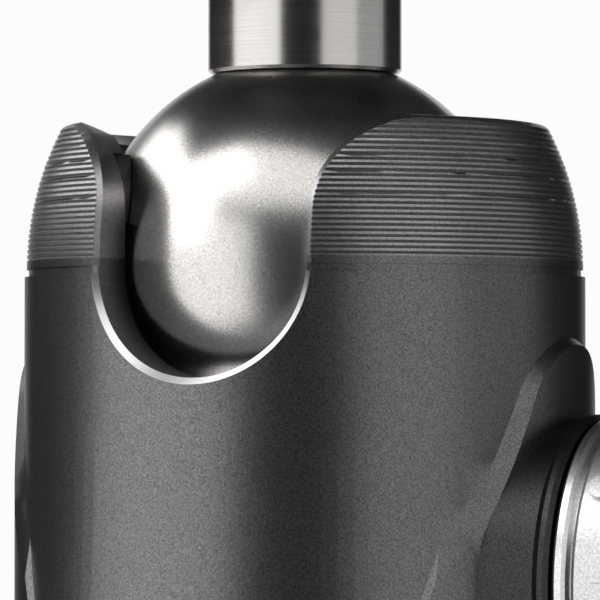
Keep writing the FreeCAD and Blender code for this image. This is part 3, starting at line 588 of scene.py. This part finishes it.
# %% [markdown]
# The tripod socket takes a 3/8 inch screw with 16 threads to the inch. The solid's bore is at the crests,
# so the new bush has a wider bore, at the roots, and a ridge that stands inwards to the solid's bore.

# %% Tripod bush
bush_high = corners_mm("tripod_bush")[1]
bush_radius = bush_high.x
socket_crest = 4.0
socket_root = 4.72
bush_end_thick = 1.0
socket_depth = bush_high.z - bush_end_thick
socket_pitch = inch / 16
socket_turns = (socket_depth - socket_pitch) / socket_pitch

shape = bmesh.new()
turned_solid(shape, [(0, bush_high.z), (bush_radius, bush_high.z), (bush_radius, 0), (socket_root + 0.3, 0),
                     (socket_root, 0.3), (socket_root, socket_depth), (0, socket_depth)], 96)
thread(shape, socket_root + RIDGE_SUNK, socket_crest, 0.5 * socket_pitch, socket_pitch, socket_turns, 48)
threaded_bush = piece("threaded_tripod_bush", shape, finish["steel"], "base")
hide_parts("tripod_bush")

# %% [markdown]
# The clamp's screw shows between the two jaws when they are open. It is turned whole, with its collar, and
# then laid along X at its own height.

# %% Clamp screw
clamp_low, clamp_high = corners_mm("clamp_screw")
clamp_pitch = 1.5
clamp_crest = 2.45
clamp_core = 1.75
collar_radius = clamp_high.y
collar_inner = 24.05
collar_outer = 25.2
clamp_thread_end = 20.0
collar_edge = 0.2
tip_edge = 0.4

shape = bmesh.new()
turned_solid(shape, [(0, clamp_low.x), (clamp_core - tip_edge, clamp_low.x),
                     (clamp_core, clamp_low.x + tip_edge),
                     (clamp_core, clamp_thread_end), (clamp_crest, clamp_thread_end + 0.5),
                     (clamp_crest, collar_inner), (collar_radius - collar_edge, collar_inner),
                     (collar_radius, collar_inner + collar_edge),
                     (collar_radius, collar_outer - collar_edge),
                     (collar_radius - collar_edge, collar_outer), (clamp_crest, collar_outer),
                     (clamp_crest, clamp_high.x), (0, clamp_high.x)])
clamp_turns = (clamp_thread_end - clamp_low.x - 0.8 * clamp_pitch) / clamp_pitch
first_turn = clamp_low.x + 0.5 * clamp_pitch
thread(shape, clamp_core - RIDGE_SUNK, clamp_crest, first_turn, clamp_pitch, clamp_turns)
bmesh.ops.rotate(shape, cent=(0, 0, 0), matrix=ONTO_X, verts=shape.verts)
bmesh.ops.translate(shape, vec=clamp_shaft, verts=shape.verts)
threaded_clamp_screw = piece("threaded_clamp_screw", shape, finish["steel"], "clamp_knob")
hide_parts("clamp_screw")

# %% [markdown]
# The camera stands on two rubber pads with ribs across them, so that it doesn't turn on its screw. Each pad
# is a thin sheet with a row of rounded bars on it. The ribs end where the solid's flat top is.

# %% Rubber pads
pads_low, pads_high = corners_mm("plate_pads")
pad_length = pads_high.x - pads_low.x
pad_width = 13.0
rib_height = 0.35
rib_count = 22
rib_share = 0.6
rib_sunk = 0.1
pad_border = 0.5
rib_step = (pad_length - 2 * pad_border) / rib_count

shape = bmesh.new()
for side in (-1, 1):
    pad_y = side * (pads_high.y - pad_width / 2)
    sheet_height = pads_high.z - pads_low.z - rib_height + rib_sunk
    sheet_place = (0, pad_y, pads_low.z + sheet_height / 2)
    block(shape, (pad_length, pad_width, sheet_height), sheet_place, 0.15)
    for index in range(rib_count):
        rib_x = (index - (rib_count - 1) / 2) * rib_step
        block(shape, (rib_step * rib_share, pad_width - 2 * pad_border, rib_height + rib_sunk),
              (rib_x, pad_y, pads_high.z - (rib_height + rib_sunk) / 2), 0.12)
ribbed_pads = piece("ribbed_pads", shape, finish["rubber_black"], "plate")
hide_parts("plate_pads")

# %% [markdown]
# The spirit level is a round vial. Its fluid is the solid, and a bubble shows as a pale, flat dome at the
# top, inside a thin black circle. The dome is half a sphere pressed flat, and the circle is a small ring.

# %% Level bubble and circle
vial_low, vial_high = corners_mm("level_vial")
vial_middle = (vial_low + vial_high) / 2
vial_top = Vector((vial_middle.x, 0, vial_high.z)) * MM
bubble_radius = 1.15
bubble_flatness = 0.12
circle_inner = 1.45
circle_outer = 1.75
circle_low = -0.05
circle_high = 0.03
bubble_finish = moulded("bubble_finish", (0.86, 0.95, 0.62), 0.08)
ink_finish = moulded("black_ink_finish", (0.015, 0.015, 0.015), 0.5, 0.05 * MM, 0.001 * MM)

shape = bmesh.new()
bmesh.ops.create_uvsphere(shape, u_segments=40, v_segments=20, radius=bubble_radius * MM)
bmesh.ops.scale(shape, vec=(1, 1, bubble_flatness), verts=shape.verts)
bmesh.ops.translate(shape, vec=vial_top, verts=shape.verts)
piece("level_bubble", shape, bubble_finish, "clamp")

shape = bmesh.new()
turned_solid(shape, [(circle_inner, circle_low), (circle_outer, circle_low),
                     (circle_outer, circle_high), (circle_inner, circle_high)], 48, True)
bmesh.ops.translate(shape, vec=vial_top, verts=shape.verts)
piece("level_circle", shape, ink_finish, "clamp")

# %% [markdown]
# Numbers are printed on the friction dial and round the base. Text starts as a flat curve. It is given a
# little thickness and made a mesh, which can then be moved, or wrapped round a cylinder by turning each
# point's distance along the line into an angle. White ink is a matt, faintly uneven paint.

# %% Printed numbers
white_ink = moulded("white_ink_finish", (0.78, 0.78, 0.76), 0.55, 0.05 * MM, 0.001 * MM)
ink_thick = 0.01


def number_shape(text, size):
    """A number lying in the XY plane, centred, as a bmesh."""
    curve = bpy.data.curves.new("number", "FONT")
    curve.body = text
    curve.size = size * MM
    curve.extrude = ink_thick * MM
    curve.align_x = "CENTER"
    curve.align_y = "CENTER"
    curve.resolution_u = 3
    carrier = bpy.data.objects.new("number", curve)
    scene.collection.objects.link(carrier)
    bpy.context.view_layer.update()
    evaluated = carrier.evaluated_get(bpy.context.evaluated_depsgraph_get())
    flat = bpy.data.meshes.new_from_object(evaluated)
    shape = bmesh.new()
    shape.from_mesh(flat)
    bpy.data.objects.remove(carrier)
    bpy.data.curves.remove(curve)
    bpy.data.meshes.remove(flat)
    return shape


def added(shape, other):
    """Puts all of another bmesh into the first one."""
    carrier = bpy.data.meshes.new("carrier")
    other.to_mesh(carrier)
    other.free()
    shape.from_mesh(carrier)
    bpy.data.meshes.remove(carrier)


# %% [markdown]
# The friction dial sits in the end of the large knob. It has numbers from 1 to 8 between short strokes, and
# fine ribs round its rim to turn it by. A slot for a coin runs across it along Y, so no number lies there.

# %% Friction dial's marks and rim
dial_high = corners_mm("friction_dial")[1]
dial_radius = dial_high.y
dial_numbers = 8
dial_number_size = 1.9
dial_number_radius = 4.0
dial_strokes = 16
dial_stroke_radius = 5.75
dial_stroke = (0.9, 0.22, 2 * ink_thick)
rim_ribs = 54
rim_rib = (0.3, 0.34, 1.1)
rim_rib_below_face = 1.25
dial_marks = bmesh.new()
for index in range(dial_numbers):
    turn = math.radians(360 / dial_numbers * (index + 0.5))
    number = number_shape(str(index + 1), dial_number_size)
    bmesh.ops.translate(number, vec=(0, dial_number_radius * MM, dial_high.x * MM), verts=number.verts)
    bmesh.ops.rotate(number, cent=(0, 0, 0), matrix=Matrix.Rotation(-turn, 3, "Z"), verts=number.verts)
    added(dial_marks, number)
strokes = bmesh.new()
block(strokes, dial_stroke, (dial_stroke_radius, 0, dial_high.x))
copies_round(strokes, dial_strokes)
half_step = Matrix.Rotation(math.radians(360 / dial_strokes / 2), 3, "Z")
bmesh.ops.rotate(strokes, cent=(0, 0, 0), matrix=half_step, verts=strokes.verts)
added(dial_marks, strokes)
bmesh.ops.rotate(dial_marks, cent=(0, 0, 0), matrix=ONTO_X, verts=dial_marks.verts)
bmesh.ops.translate(dial_marks, vec=lock_shaft, verts=dial_marks.verts)
piece("dial_marks", dial_marks, white_ink, "friction_dial")

shape = bmesh.new()
block(shape, rim_rib, (dial_radius, 0, dial_high.x - rim_rib_below_face), 0.06)
copies_round(shape, rim_ribs)
bmesh.ops.rotate(shape, cent=(0, 0, 0), matrix=ONTO_X, verts=shape.verts)
bmesh.ops.translate(shape, vec=lock_shaft, verts=shape.verts)
piece("dial_rim_ribs", shape, finish["casing_grey"], "friction_dial")

# %% [markdown]
# Round the base runs a scale of degrees, to read how far the head has panned, with a mark on the casing to
# read it against. Strokes stand every 5 degrees, longer ones every 15, and numbers every 30. The numbers
# are wrapped round the base, so that they don't stand off it at their ends.

# %% Panning scale
base_high = corners_mm("base_plate")[1]
base_radius = base_high.y
scale_top = base_high.z - 0.6
stroke_width = 0.24
short_stroke = 1.0
long_stroke = 1.7
degrees_per_stroke = 5
degrees_per_long_stroke = 15
degrees_per_number = 30
scale_number_size = 2.0
scale_number_below_top = 3.2
mark_radius = 0.9
mark_depth = 0.1
mark_above_base = 2.1


def ring_of_strokes(length, count):
    """Upright strokes round the base, hanging from the scale's top line."""
    shape = bmesh.new()
    block(shape, (2 * ink_thick, stroke_width, length), (base_radius, 0, scale_top - length / 2))
    copies_round(shape, count)
    return shape


scale_marks = ring_of_strokes(short_stroke, 360 // degrees_per_stroke)
added(scale_marks, ring_of_strokes(long_stroke, 360 // degrees_per_long_stroke))
number_z = (scale_top - scale_number_below_top) * MM
for degrees in range(0, 360, degrees_per_number):
    number = number_shape(str(degrees), scale_number_size)
    for vert in number.verts:
        turn = math.radians(degrees - 90) + vert.co.x / (base_radius * MM)
        radius = base_radius * MM + vert.co.z
        vert.co = (radius * math.cos(turn), radius * math.sin(turn), number_z + vert.co.y)
    added(scale_marks, number)
piece("panning_scale", scale_marks, white_ink, "base")

shape = bmesh.new()
bmesh.ops.create_circle(shape, cap_ends=True, radius=mark_radius * MM, segments=3)
upright = Matrix.Rotation(math.radians(90), 3, "X")
point_down = Matrix.Rotation(math.radians(180), 3, "Y")
bmesh.ops.rotate(shape, cent=(0, 0, 0), matrix=point_down @ upright, verts=shape.verts)
walls = bmesh.ops.extrude_face_region(shape, geom=list(shape.faces))["geom"]
raised = [item for item in walls if isinstance(item, bmesh.types.BMVert)]
bmesh.ops.translate(shape, vec=(0, -mark_depth * MM, 0), verts=raised)
mark_place = Vector((0, mark_depth - ink_thick - base_radius, base_high.z + mark_above_base)) * MM
bmesh.ops.translate(shape, vec=mark_place, verts=shape.verts)
piece("panning_mark", shape, white_ink, "casing")
